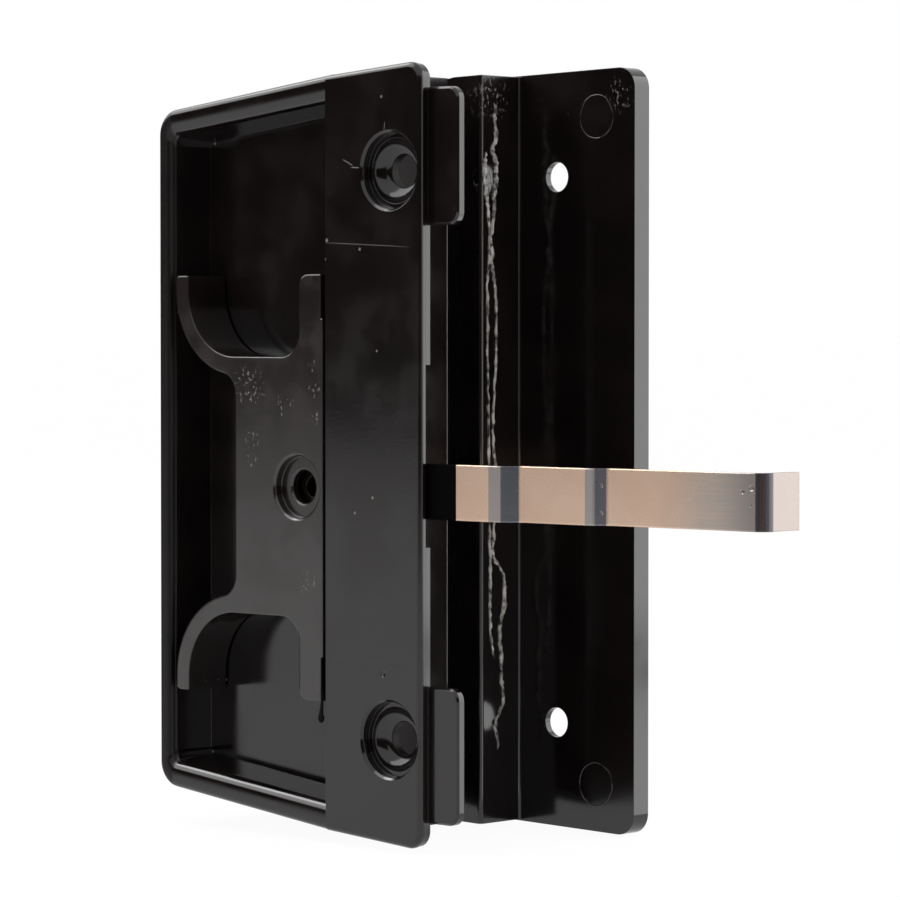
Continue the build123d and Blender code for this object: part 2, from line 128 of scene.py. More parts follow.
class Canvas:
    """One material and the masks of its finish, all read from Object coordinates."""

    def __init__(self, name: str) -> None:
        """Starts an empty material.

        Args:
            name: The material's name.
        """
        self.material = bpy.data.materials.new(name)
        self.material.use_nodes = True
        self.tree = self.material.node_tree
        self.tree.nodes.clear()
        self.place = self.add("ShaderNodeTexCoord").outputs["Object"]
        self.axes = self.add("ShaderNodeSeparateXYZ", {0: self.place}).outputs

    def add(self, kind: str, inputs: dict | None = None, **settings: object) -> bpy.types.Node:
        """Adds a node to this material, as add_node does."""
        return add_node(self.tree, kind, inputs, **settings)

    def combine(self, operation: str, *values: Socket | float) -> Socket:
        """Folds values together with one arithmetic operation.

        Args:
            operation: The Math node's operation, such as MULTIPLY or MAXIMUM.
            *values: Two or more outputs or numbers.

        Returns:
            The output of the last node.
        """
        result = values[0]
        for value in values[1:]:
            result = self.add("ShaderNodeMath", {0: result, 1: value},
                              operation=operation).outputs[0]
        return result

    def ramp(self, value: Socket, start: float, end: float,
             low: float = 0.0, high: float = 1.0) -> Socket:
        """Eases a value from low at start to high at end."""
        sockets = {
            "Value": value, "From Min": start, "From Max": end, "To Min": low, "To Max": high}
        return self.add("ShaderNodeMapRange", sockets, interpolation_type="SMOOTHSTEP").outputs[0]

    def mottle(self, size: float, start: float, end: float, detail: float = 2.0,
               stretch: Point = (1.0, 1.0, 1.0)) -> Socket:
        """Makes a cloudy mask.

        Args:
            size: Width of a cloud, in millimetres.
            start: Noise value at which the mask begins.
            end: Noise value at which the mask is full.
            detail: Octaves of finer noise in it.
            stretch: How much longer the clouds are along each axis.

        Returns:
            The mask, from nought to one.
        """
        scale = tuple(1 / (size * MM * s) for s in stretch)
        place = self.add("ShaderNodeMapping", {"Vector": self.place, "Scale": scale}).outputs[0]
        noise = self.add("ShaderNodeTexNoise", {"Vector": place, "Scale": 1.0, "Detail": detail})
        return self.ramp(noise.outputs[0], start, end)

    def near_plane(self, axis: Axis, at: float, half: float, soft: float) -> Socket:
        """Marks a band across one axis.

        Args:
            axis: The axis that the band lies across.
            at: Its middle, in millimetres.
            half: Half its width, in millimetres.
            soft: Width of its soft edge, in millimetres.

        Returns:
            The mask, one in the band.
        """
        shifted = self.combine("SUBTRACT", self.axes[axis.value], at * MM)
        distance = self.add("ShaderNodeMath", {0: shifted}, operation="ABSOLUTE").outputs[0]
        return self.ramp(distance, half * MM, (half + soft) * MM, 1.0, 0.0)

    def near_point(self, point: Point, radius: float, soft: float) -> Socket:
        """Marks a ball round a point, given in millimetres."""
        middle = tuple(c * MM for c in point)
        distance = self.add("ShaderNodeVectorMath", {0: self.place, 1: middle},
                            operation="DISTANCE")
        return self.ramp(distance.outputs["Value"], radius * MM, (radius + soft) * MM, 1.0, 0.0)

    def specks(self, pitch: float, radius: float, share: float) -> Socket:
        """Scatters small round specks.

        Args:
            pitch: Mean distance between places for a speck, in millimetres.
            radius: Largest speck, in millimetres.
            share: Part of the places that hold one.

        Returns:
            The mask, one on a speck.
        """
        cell = self.add("ShaderNodeTexVoronoi", {"Vector": self.place, "Scale": 1 / (pitch * MM)})
        core = self.ramp(cell.outputs["Distance"], 0.4 * radius / pitch, radius / pitch, 1.0, 0.0)
        pick = self.add("ShaderNodeSeparateColor", {0: cell.outputs["Color"]}).outputs[0]
        return self.combine("MULTIPLY", core, self.ramp(pick, share, share * 0.98))

    def mix_colour(self, base: object, over: object, mask: Socket) -> Socket:
        """Lays one colour over another through a mask and returns the result."""
        return self.add("ShaderNodeMix", {0: mask, 6: base, 7: over}, data_type="RGBA").outputs[2]

    def emboss(self, height: Socket, depth: float,
               normal: Socket | None = None) -> Socket:
        """Raises a mask as relief.

        Args:
            height: The mask.
            depth: How far its full value stands up, in millimetres. A minus sign sinks it.
            normal: The normal that the relief is added to.

        Returns:
            The bent normal.
        """
        inputs = {"Height": height, "Distance": abs(depth) * MM, "Strength": 1.0}
        if normal is not None:
            inputs["Normal"] = normal
        return self.add("ShaderNodeBump", inputs, invert=depth < 0).outputs[0]

    def finish(self, colour: object, roughness: object, normal: Socket, **values: float) -> None:
        """Closes the material with its surface shader.

        Args:
            colour: Base colour, a value or an output.
            roughness: Roughness, a value or an output.
            normal: The normal output.
            **values: Other inputs of the shader, with an underscore for each space.
        """
        inputs = {"Base Color": colour, "Roughness": roughness, "Normal": normal}
        inputs.update({key.replace("_", " "): value for key, value in values.items()})
        shader = self.add("ShaderNodeBsdfPrincipled", inputs)
        self.add("ShaderNodeOutputMaterial", {"Surface": shader.outputs[0]})


@dataclass(frozen=True)
class Scuff:
    """A short bright scratch on a face that looks towards the room, in millimetres and degrees."""

    x: float
    z: float
    angle: float
    length: float
    width: float = 0.12


@dataclass(frozen=True)
class Spot:
    """A small pit or fleck, in millimetres."""

    x: float
    y: float
    z: float
    radius: float


@dataclass(frozen=True)
class LitEdge:
    """A painted highlight along an upright edge, by its place and half its height, in millimetres.
    """

    x: float
    y: float
    half: float


@dataclass(frozen=True)
class MouldedPlastic:
    """Injection-moulded black ABS: a dense black with a satin to glossy skin, which mirrors softly
    and shows faint flow marks, pimples from the mould's steel and a few specks of dust."""

    name: str
    colour: str = "#0d0909"
    haze: str = "#130e0d"
    chalk_and_highlight: str = "#86827e"
    pit_shade_black: str = "#030303"
    glossy: float = 0.11
    dull: float = 0.17
    specular: float = 0.56
    matt_specular: float = 0.12
    matt_rough: float = 0.45
    edge: float = 0.14
    grain: float = 0.55
    grain_relief: float = 0.0006
    flow: float = 11.0
    relief: float = 0.0015
    mark_relief: float = 0.02
    mark_strength: float = 0.6
    pit_relief: float = -0.3
    dust: float = 0.05
    dust_pitch: float = 2.6
    dust_radius: float = 0.16
    scuffs: tuple[Scuff, ...] = ()
    flecks: tuple[Spot, ...] = ()
    pits: tuple[Spot, ...] = ()
    witness_lines: tuple[Scuff, ...] = ()
    rubbed: tuple[Spot, ...] = ()
    matt: tuple[Spot, ...] = ()
    matt_left: tuple[float, float] = (-54.6, -53.8)
    matt_left_share: float = 0.6
    lit_edge: LitEdge | None = None

    def scratch(self, canvas: Canvas, scuff: Scuff) -> Socket:
        """Draws one scuff on the face that looks towards the room.

        Args:
            canvas: The material that it goes into.
            scuff: The scuff.

        Returns:
            Its mask.
        """
        turned = canvas.add("ShaderNodeMapping", {
            "Vector": canvas.place,
            "Location": (scuff.x * MM, 0.0, scuff.z * MM),
            "Rotation": (0.0, radians(-scuff.angle), 0.0),
        }, vector_type="TEXTURE")
        parts = canvas.add("ShaderNodeSeparateXYZ", {0: turned.outputs[0]}).outputs
        masks = [canvas.near_plane(Axis.Y, at=0.0, half=0.8, soft=0.2)]
        for value, half in ((parts["X"], scuff.length / 2), (parts["Z"], scuff.width / 2)):
            size = canvas.add("ShaderNodeMath", {0: value}, operation="ABSOLUTE").outputs[0]
            masks.append(canvas.ramp(size, half * 0.6 * MM, half * 1.4 * MM, 1.0, 0.0))
        return canvas.combine("MULTIPLY", *masks)

    def pale_marks_and_highlight(self, canvas: Canvas) -> Socket:
        """Gathers dust, scuffs, flecks, rubbed patches and the painted highlight of the lit edge.

        Args:
            canvas: The material that they go into.

        Returns:
            Their mask, real marks and painted highlight together.
        """
        marks = [canvas.specks(self.dust_pitch, self.dust_radius, self.dust)]
        marks += [self.scratch(canvas, scuff) for scuff in self.scuffs]
        marks += [canvas.near_point((s.x, s.y, s.z), s.radius * 0.35, s.radius * 0.45)
                  for s in self.flecks]
        if self.rubbed:
            rub = canvas.mottle(size=0.62, start=0.57, end=0.68, detail=3.0,
                                stretch=(1.0, 1.0, 1.4))
            patches = (canvas.near_point((s.x, s.y, s.z), s.radius * 0.3, s.radius)
                       for s in self.rubbed)
            marks += [canvas.combine("MULTIPLY", rub, patch) for patch in patches]
        # The lit edge is a painted highlight: a pale stripe where an upright edge would catch the
        # light.
        if self.lit_edge:
            edge = self.lit_edge
            marks.append(canvas.combine(
                "MULTIPLY",
                canvas.near_plane(Axis.X, edge.x, half=0.3, soft=0.1),
                canvas.near_plane(Axis.Y, edge.y, half=0.1, soft=0.12),
                canvas.near_plane(Axis.Z, 0.0, edge.half, soft=1.0)))
        return canvas.combine("MAXIMUM", *marks)

    def matt_mask(self, canvas: Canvas) -> Socket:
        """Marks the hole walls and the pull's left end, which mirror little.

        Args:
            canvas: The material that it goes into.

        Returns:
            The mask.
        """
        spots = [canvas.near_point((s.x, s.y, s.z), s.radius, 0.2) for s in self.matt]
        left_start, left_end = self.matt_left
        left = canvas.ramp(
            canvas.axes["X"], left_start * MM, left_end * MM, self.matt_left_share, 0.0)
        return canvas.combine("MAXIMUM", *spots, left)

    def build(self) -> bpy.types.Material:
        """Mixes the material.

        Returns:
            The finished material.
        """
        canvas = Canvas(self.name)
        flow = canvas.mottle(self.flow, start=0.35, end=0.68, detail=3.0)
        grain = canvas.mottle(self.grain, start=0.3, end=0.7, detail=1.0)
        mark = self.pale_marks_and_highlight(canvas)
        share = canvas.combine("MULTIPLY", mark, self.mark_strength)
        colour = canvas.mix_colour(linear(self.colour), linear(self.haze), flow)
        # Dust, scuffs, flecks, rubbed patches and the painted highlight share one pale colour.
        colour = canvas.mix_colour(colour, linear(self.chalk_and_highlight), share)
        roughness = canvas.ramp(
            canvas.combine("ADD", flow, share), 0.0, 1.0, self.glossy, self.dull)
        normal = canvas.add("ShaderNodeBevel", {"Radius": self.edge * MM}, samples=6).outputs[0]
        normal = canvas.emboss(flow, self.relief, normal)
        normal = canvas.emboss(grain, self.grain_relief, normal)
        normal = canvas.emboss(mark, self.mark_relief, normal)
        for line in self.witness_lines:
            normal = canvas.emboss(self.scratch(canvas, line), self.mark_relief, normal)
        # Each pit is sunk as relief and painted darker, as painted shade in the hollow.
        for pit in self.pits:
            hole = canvas.near_point((pit.x, pit.y, pit.z), pit.radius * 0.7, pit.radius * 0.5)
            normal = canvas.emboss(hole, self.pit_relief, normal)
            colour = canvas.mix_colour(colour, linear(self.pit_shade_black), hole)
        specular = self.specular
        if self.matt:
            rough = self.matt_mask(canvas)
            specular = canvas.ramp(rough, 0.0, 1.0, self.specular, self.matt_specular)
            roughness = canvas.combine(
                "MAXIMUM", roughness, canvas.combine("MULTIPLY", rough, self.matt_rough))
        canvas.finish(colour, roughness, normal, IOR=1.5, Specular_IOR_Level=specular)
        return canvas.material


@dataclass(frozen=True)
class PaintedBand:
    """A stripe of painted light and shade across the hook, in millimetres along X: the lit and
    shaded walls of the press marks, and shade with a thin highlight line at the bend.
    """

    start: float
    end: float
    colour: str


@dataclass(frozen=True)
class RolledStainless:
    """Cold-rolled stainless strip: a warm bright satin towards the door, which turns a cooler grey
    towards its end. Painted shade darkens it towards the bend and across the bend, painted stripes
    give the lit and shaded walls of the press marks, its pits are darkened as painted shade, and
    it is drawn black, matt and not metallic near its root."""

    name: str
    colour: str = "#e8cbb6"
    clouded: str = "#e1c1aa"
    cool: str = "#b9b1ab"
    shaded: str = "#97918d"
    bend_shade: str = "#4c4a4e"
    pit_shade_grey: str = "#8d8985"
    root_black: str = "#040304"
    rough: float = 0.27
    edge: float = 0.35
    pit_relief: float = -0.15
    cooling: tuple[float, float] = (53.0, 67.0)
    shading: tuple[float, float] = (65.0, 74.5)
    root: tuple[float, float] = (13.9, 14.0)
    bend_x: tuple[float, float] = (75.2, 75.4)
    bend_y: tuple[float, float] = (8.0, 8.4)
    painted_bands: tuple[PaintedBand, ...] = ()
    pits: tuple[Spot, ...] = ()

    def stripe(self, canvas: Canvas, start: float, end: float, soft: float = 0.12) -> Socket:
        """Marks a stripe across the strip.

        Args:
            canvas: The material that it goes into.
            start: Its nearer edge along X, in millimetres.
            end: Its farther edge.
            soft: Width of each edge.

        Returns:
            Its mask.
        """
        half = (end - start) / 2
        return canvas.near_plane(Axis.X, start + half, half - soft / 2, soft)

    def build(self) -> bpy.types.Material:
        """Mixes the material.

        Returns:
            The finished material.
        """
        canvas = Canvas(self.name)
        along, across = canvas.axes["X"], canvas.axes["Y"]
        brushing = canvas.mottle(size=0.16, start=0.3, end=0.7, stretch=(60.0, 60.0, 1.0))
        cloud = canvas.mottle(size=9.0, start=0.3, end=0.7)
        grit = canvas.mottle(size=0.35, start=0.45, end=0.7)
        cooling = canvas.ramp(along, *(at * MM for at in self.cooling))
        shading = canvas.ramp(along, *(at * MM for at in self.shading))
        colour = canvas.mix_colour(linear(self.colour), linear(self.clouded), cloud)
        colour = canvas.mix_colour(colour, linear(self.cool), cooling)
        colour = canvas.mix_colour(
            colour, linear(self.clouded), canvas.combine("MULTIPLY", brushing, 0.4))
        # Painted shade, darker towards the bend.
        colour = canvas.mix_colour(colour, linear(self.shaded), shading)
        # Painted light and shade: each stripe paints a lit or a shaded wall of the press marks, or
        # the bend's shade and highlight line.
        for band in self.painted_bands:
            stripe = self.stripe(canvas, band.start, band.end)
            applied = canvas.combine("MULTIPLY", stripe, canvas.ramp(grit, 0.0, 1.0, 1.0, 0.93))
            colour = canvas.mix_colour(colour, linear(band.colour), applied)
        # Painted shade across the bend, where the strip turns away from the light.
        bend = canvas.combine("MULTIPLY", canvas.ramp(along, *(at * MM for at in self.bend_x)),
                              canvas.ramp(across, *(at * MM for at in self.bend_y), 1.0, 0.0))
        colour = canvas.mix_colour(colour, linear(self.bend_shade), bend)
        normal = canvas.add("ShaderNodeBevel", {"Radius": self.edge * MM}, samples=6).outputs[0]
        # Each pit is sunk as relief and painted greyer, as painted shade in the hollow.
        for pit in self.pits:
            hole = canvas.near_point((pit.x, pit.y, pit.z), pit.radius * 0.7, pit.radius * 0.5)
            normal = canvas.emboss(hole, self.pit_relief, normal)
            colour = canvas.mix_colour(colour, linear(self.pit_shade_grey), hole)
        # Drawn black, matt and not metallic near the root.
        root = canvas.ramp(along, *(at * MM for at in self.root), 1.0, 0.0)
        colour = canvas.mix_colour(colour, linear(self.root_black), root)
        roughness = canvas.ramp(cloud, 0.0, 1.0, self.rough * 0.96, self.rough * 1.04)
        roughness = canvas.combine("MAXIMUM", roughness, canvas.combine("MULTIPLY", root, 0.5))
        shine = canvas.combine("SUBTRACT", 1.0, root)
        specular = canvas.ramp(root, 0.0, 1.0, 0.5, 0.02)
        canvas.finish(colour, roughness, normal, Metallic=shine, Specular_IOR_Level=specular)
        return canvas.material


def directly_seen(tree: bpy.types.NodeTree) -> Socket:
    """Marks camera, glossy and transmission rays.

    Args:
        tree: The tree that the mask goes into.

    Returns:
        One for those rays and nought for the light that a surface scatters.
    """
    path = add_node(tree, "ShaderNodeLightPath").outputs
    seen = path["Is Camera Ray"]
    for ray in ("Is Glossy Ray", "Is Transmission Ray"):
        seen = add_node(tree, "ShaderNodeMath", {0: seen, 1: path[ray]},
                        operation="MAXIMUM").outputs[0]
    return seen


@dataclass(frozen=True)
class StudioPaper:
    """White seamless paper: matt, lifted to pure white for the camera, and keeping a shadow."""

    name: str = "studio_paper"
    colour: str = "#ffffff"
    lift: float = 0.95

    def build(self) -> bpy.types.Material:
        """Mixes the material.

        Returns:
            The finished material.
        """
        material = bpy.data.materials.new(self.name)
        material.use_nodes = True
        tree = material.node_tree
        tree.nodes.clear()
        seen = directly_seen(tree)
        share = add_node(tree, "ShaderNodeMath", {0: seen, 1: self.lift},
                         operation="MULTIPLY").outputs[0]
        paper = add_node(tree, "ShaderNodeBsdfDiffuse", {"Color": linear(self.colour)})
        glow = add_node(tree, "ShaderNodeEmission", {"Color": WHITE, "Strength": 1.0})
        mixed = add_node(tree, "ShaderNodeMixShader",
                         {0: share, 1: paper.outputs[0], 2: glow.outputs[0]})
        add_node(tree, "ShaderNodeOutputMaterial", {"Surface": mixed.outputs[0]})
        return material


@dataclass(frozen=True)
class BlackCard:
    """Matt black card, which gives the glossy plastic something dark to mirror."""

    name: str = "black_card"
    colour: str = "#352e2c"

    def build(self) -> bpy.types.Material:
        """Mixes the material.

        Returns:
            The finished material.
        """
        material = bpy.data.materials.new(self.name)
        material.use_nodes = True
        tree = material.node_tree
        tree.nodes.clear()
        card = add_node(tree, "ShaderNodeBsdfDiffuse", {"Color": linear(self.colour)})
        add_node(tree, "ShaderNodeOutputMaterial", {"Surface": card.outputs[0]})
        return material


def settle(piece: bpy.types.Object, name: str, body: Body,
           material: bpy.types.Material) -> None:
    """Hands a finished piece to the frame.

    Args:
        piece: The piece, with its place in its mesh.
        name: Its name.
        body: The body that it rides on.
        material: The material that it shows.
    """
    piece.name = piece.data.name = name
    piece.data.materials.clear()
    piece.data.materials.append(material)
    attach(piece, body.value)
    LOG.info("%s rides on %s: %d faces", name, body.value, len(piece.data.polygons))


def apply_place(piece: bpy.types.Object) -> None:
    """Moves a piece's place, turn and size into its mesh."""
    bpy.ops.object.select_all(action="DESELECT")
    piece.select_set(True)
    bpy.context.view_layer.objects.active = piece
    bpy.ops.object.transform_apply(location=True, rotation=True, scale=True)


def pick(piece: bpy.types.Object, wanted: Callable[[Vector], bool]) -> None:
    """Opens a piece in edit mode with only some of its vertices selected.

    Args:
        piece: The piece, active and in object mode.
        wanted: Says of a vertex's place whether it is selected.
    """
    bpy.ops.object.mode_set(mode="EDIT")
    bpy.ops.mesh.select_mode(type="VERT")
    bpy.ops.mesh.select_all(action="DESELECT")
    bpy.ops.object.mode_set(mode="OBJECT")
    for vertex in piece.data.vertices:
        vertex.select = wanted(vertex.co)
    bpy.ops.object.mode_set(mode="EDIT")


@dataclass
class SeamFlash:
    """Torn flash along the side of the outside box, where the mould's slide met its core. Each
    strand follows points of Y, Z and half width, read off the photograph."""

    wall_x: float = -8.75
    slim: float = 0.85
    crumple: float = 0.62
    crumple_pitch: float = 0.55
    main: tuple[Point, ...] = (
        (35.7, 60.4, 0.2), (35.6, 58.6, 0.45), (35.5, 56.6, 0.4), (36.2, 54.1, 0.5),
        (34.3, 52.4, 0.55), (36.3, 50.4, 0.65), (35.4, 48.5, 0.6), (36.2, 47.0, 0.6),
        (35.1, 45.2, 0.6), (35.5, 43.2, 0.5), (35.1, 39.2, 0.45), (33.9, 36.7, 0.5),
        (35.3, 35.5, 0.45), (34.2, 32.9, 0.5), (35.9, 29.2, 0.35), (36.0, 20.9, 0.3),
        (35.7, 12.0, 0.3), (34.8, 3.4, 0.35), (35.7, -1.3, 0.4), (35.5, -9.0, 0.35),
        (35.4, -15.4, 0.45), (34.5, -18.8, 0.5), (37.6, -20.8, 0.45), (38.2, -23.9, 0.45),
        (38.0, -28.2, 0.45), (36.3, -31.6, 0.45), (37.5, -36.5, 0.5), (37.0, -41.2, 0.4),
        (38.1, -43.8, 0.45), (36.9, -45.9, 0.45), (35.2, -48.0, 0.45), (36.2, -49.6, 0.45),
        (36.4, -52.8, 0.2))
    side: tuple[Point, ...] = (
        (33.4, 52.2, 0.25), (32.9, 50.2, 0.6), (32.9, 47.6, 0.7), (33.3, 44.4, 0.5),
        (34.2, 41.0, 0.3), (34.1, 32.7, 0.35), (33.5, 29.2, 0.35), (33.7, 20.9, 0.3),
        (33.9, 8.6, 0.3), (34.1, -1.1, 0.35), (34.3, -15.3, 0.3), (34.4, -24.6, 0.4),
        (34.3, -27.6, 0.35), (34.4, -32.0, 0.35), (35.4, -36.8, 0.2))

    def strand(self, name: str, points: tuple[Point, ...],
               material: bpy.types.Material) -> None:
        """Draws one strand out from point to point and crumples it.

        Args:
            name: The piece's name.
            points: The Y, Z and half width at each place along it, in millimetres.
            material: The plastic.
        """
        bpy.ops.object.select_all(action="DESELECT")
        y, z, width = points[0]
        bpy.ops.mesh.primitive_circle_add(
            vertices=8, radius=width * self.slim * MM, fill_type="NGON",
            location=(self.wall_x * MM, y * MM, z * MM))
        piece = bpy.context.object
        apply_place(piece)
        bpy.ops.object.mode_set(mode="EDIT")
        bpy.ops.mesh.select_all(action="SELECT")
        for next_y, next_z, next_width in points[1:]:
            step = (0.0, (next_y - y) * MM, (next_z - z) * MM)
            bpy.ops.mesh.extrude_region_move(TRANSFORM_OT_translate={"value": step})
            share = next_width / width
            bpy.ops.transform.resize(
                value=(share, share, 1.0),
                center_override=(self.wall_x * MM, next_y * MM, next_z * MM))
            y, z, width = next_y, next_z, next_width
        bpy.ops.mesh.select_all(action="SELECT")
        bpy.ops.mesh.normals_make_consistent(inside=False)
        bpy.ops.object.mode_set(mode="OBJECT")
        finer = piece.modifiers.new("finer", "SUBSURF")
        finer.levels = finer.render_levels = 3
        bpy.ops.object.modifier_apply(modifier="finer")
        for move, direction, strength, pitch in (
                ("crumple", "NORMAL", self.crumple, self.crumple_pitch),
                ("fray", "Y", self.crumple, self.crumple_pitch * 1.7)):
            clouds = bpy.data.textures.new(f"{name}_{move}", "CLOUDS")
            clouds.noise_scale = pitch * MM
            clouds.noise_depth = 2
            modifier = piece.modifiers.new(move, "DISPLACE")
            modifier.texture = clouds
            modifier.texture_coords = "LOCAL"
            modifier.direction = direction
            modifier.strength = strength * MM
            modifier.mid_level = 0.5
            bpy.ops.object.modifier_apply(modifier=move)
        bpy.ops.object.shade_smooth_by_angle(angle=radians(60))
        settle(piece, name, Body.PULLS, material)

    def build(self) -> None:
        """Makes both strands, in a pale grey plastic whose colour is a painted highlight of the
        light that the torn flash catches.
        """
        # Pale grey colour: painted highlight on the torn flash.
        torn = MouldedPlastic(
            "abs_flash_painted_highlight", colour="#aaa5a0", haze="#17120f", chalk_and_highlight="#c4bdb6",
            glossy=0.25, dull=0.45, flow=1.0, relief=0.02, dust=0.0, edge=0.05).build()
        self.strand("seam_flash_main", self.main, torn)
        self.strand("seam_flash_side", self.side, torn)


@dataclass
class PinMark:
    """Uneven ring that an ejector pin leaves in the plate's stile face."""

    radius: float = 3.75
    thick: float = 0.14
    uneven: float = 0.24
    proud: float = 0.02
    x: float = 9.1
    z: float = 57.8

    def build(self, material: bpy.types.Material) -> None:
        """Makes both rings, one above the hook and one below.

        Args:
            material: The plastic.
        """
        face_y = mount_place("outside_seat").y
        for name, side in (("pin_mark_upper", 1), ("pin_mark_lower", -1)):
            bpy.ops.object.select_all(action="DESELECT")
            bpy.ops.mesh.primitive_torus_add(
                major_radius=self.radius * MM, minor_radius=self.thick * MM,
                major_segments=120, minor_segments=10,
                location=(self.x * MM, face_y + self.proud * MM, side * self.z * MM),
                rotation=(radians(90), 0.0, 0.0))
            piece = bpy.context.object
            apply_place(piece)
            clouds = bpy.data.textures.new(name, "CLOUDS")
            clouds.noise_scale = 2.6 * MM
            pushes = (("Y", self.uneven), ("X", self.uneven * 1.5), ("Z", self.uneven))
            for direction, strength in pushes:
                modifier = piece.modifiers.new("uneven", "DISPLACE")
                modifier.texture = clouds
                modifier.texture_coords = "LOCAL"
                modifier.direction = direction
                modifier.strength = strength * MM
                modifier.mid_level = 0.45
                bpy.ops.object.modifier_apply(modifier="uneven")
            bpy.ops.object.shade_smooth()
            settle(piece, name, Body.PULLS, material)


@dataclass
class RimBead:
    """Raised bead along the three free sides of a pull's rim. Its outer edge is rounded small and
    its face leans a little to the inside before it rolls over into the cup. Its profile gives how
    far each loop lies in from the left end and how deep below the solid rim's face. Above and
    below it is wider by the share in widen."""

    left: float = -57.6
    flange: float = -15.0
    overlap: float = 0.05
    end: float = -10.0
    corner: float = 3.8
    rim_depth: float = 2.0
    foot: float = 1.6
    widen: float = 0.66
    profile: tuple[tuple[float, float], ...] = (
        (0.03, 0.3), (0.07, -0.3), (0.14, -0.6), (0.26, -0.83), (0.43, -1.0), (0.66, -1.08),
        (0.99, -1.07), (1.33, -1.045), (1.67, -1.0), (1.9, -0.96), (2.08, -0.89), (2.23, -0.79),
        (2.38, -0.63), (2.53, -0.4), (2.65, -0.12), (2.75, 0.18), (2.82, 0.36), (2.86, 0.6),
        (2.88, 1.2))

    def build(self, name: str, at_left: float, at_flange: float, facing: Facing, face_y: float,
              material: bpy.types.Material) -> None:
        """Makes one pull's bead from its outline, inset and raised loop by loop.

        Args:
            name: The piece's name.
            at_left: Half the rim's height at its left end, in millimetres.
            at_flange: Half its height at the flange.
            facing: Which way the pull's face looks.
            face_y: Where that face stands along Y, in millimetres.
            material: The plastic.
        """
        side = facing.value
        share = (self.end - self.left) / (self.flange - self.left)
        at_end = at_left + (at_flange - at_left) * share
        bpy.ops.object.select_all(action="DESELECT")
        inset, climb = 0.0, self.foot
        bpy.ops.mesh.primitive_plane_add(
            size=1.0, rotation=(radians(-90 * side), 0.0, 0.0),
            location=((self.left + self.end) / 2 * MM,
                      (face_y - side * (self.rim_depth + climb)) * MM, 0.0))
        piece = bpy.context.object
        piece.scale = ((self.end - self.left) * MM, 2 * at_end * MM, 1.0)
        apply_place(piece)
        pick(piece, lambda place: place.x < (self.left + 1) * MM)
        bpy.ops.transform.resize(value=(1.0, 1.0, at_left / at_end),
                                 center_override=(0.0, 0.0, 0.0))
        bpy.ops.mesh.bevel(offset=self.corner * MM, segments=10, affect="VERTICES")
        bpy.ops.mesh.select_mode(type="FACE")
        bpy.ops.mesh.select_all(action="SELECT")
        for next_inset, next_climb in self.profile:
            bpy.ops.mesh.inset(thickness=(next_inset - inset) * MM,
                               depth=(climb - next_climb) * MM)
            squeeze = 1 - self.widen * (next_inset - inset) / at_left
            bpy.ops.transform.resize(value=(1.0, 1.0, squeeze), center_override=(0.0, 0.0, 0.0))
            inset, climb = next_inset, next_climb
        bpy.ops.mesh.delete(type="FACE")
        bpy.ops.mesh.select_mode(type="EDGE")
        bpy.ops.mesh.select_all(action="DESELECT")
        bpy.ops.mesh.select_non_manifold()
        bpy.ops.mesh.bridge_edge_loops()
        bpy.ops.mesh.select_all(action="SELECT")
        bpy.ops.mesh.bisect(plane_co=((self.flange + self.overlap) * MM, 0.0, 0.0),
                            plane_no=(1.0, 0.0, 0.0), clear_outer=True, use_fill=True)
        bpy.ops.mesh.select_all(action="SELECT")
        bpy.ops.mesh.normals_make_consistent(inside=False)
        bpy.ops.object.mode_set(mode="OBJECT")
        bpy.ops.object.shade_smooth_by_angle(angle=radians(40))
        settle(piece, name, Body.PULLS, material)


@dataclass
class FlashNib:
    """Drip of plastic that hangs from the thumb slide's gap at the inside flange's left edge, in a
    near-black matt finish that paints the shade of the dark spot there.
    """

    x: float = -16.4
    y: float = -0.1
    z: float = -45.0
    radius: float = 0.75
    neck: float = 3.2

    def build(self) -> None:
        """Makes the nib from a ball that is drawn out below and up to a thin neck."""
        bpy.ops.object.select_all(action="DESELECT")
        bpy.ops.mesh.primitive_uv_sphere_add(
            segments=24, ring_count=16, radius=self.radius * MM,
            location=(self.x * MM, self.y * MM, self.z * MM))
        piece = bpy.context.object
        apply_place(piece)
        pick(piece, lambda place: place.z > (self.z + self.radius * 0.75) * MM)
        bpy.ops.transform.resize(value=(0.45, 0.45, 1.0),
                                 center_override=((self.x + 0.3) * MM, self.y * MM, self.z * MM))
        bpy.ops.transform.translate(value=(0.3 * MM, 0.0, self.neck * MM))
        bpy.ops.mesh.select_all(action="SELECT")
        bpy.ops.transform.resize(value=(0.95, 0.4, 1.15),
                                 center_override=(self.x * MM, self.y * MM, self.z * MM))
        bpy.ops.transform.translate(value=(0.0, 0.45 * MM, 0.0))
        bpy.ops.object.mode_set(mode="OBJECT")
        bpy.ops.object.shade_smooth()
        # Near-black, matt and barely mirroring: painted shade.
        rough = MouldedPlastic(
            "rough_abs_drip_painted_shade", colour="#040303", haze="#060505", glossy=0.6, dull=0.75,
            specular=0.1, dust=0.0).build()
        settle(piece, "flash_nib", Body.LATCH, rough)


def mount_place(name: str) -> Vector:
    """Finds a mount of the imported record.

    Args:
        name: The mount's name.

    Returns:
        Its place, in metres.
    """
    return next(Vector(m["pos_m"]) for m in frame["record"]["mounts"] if m["name"] == name)


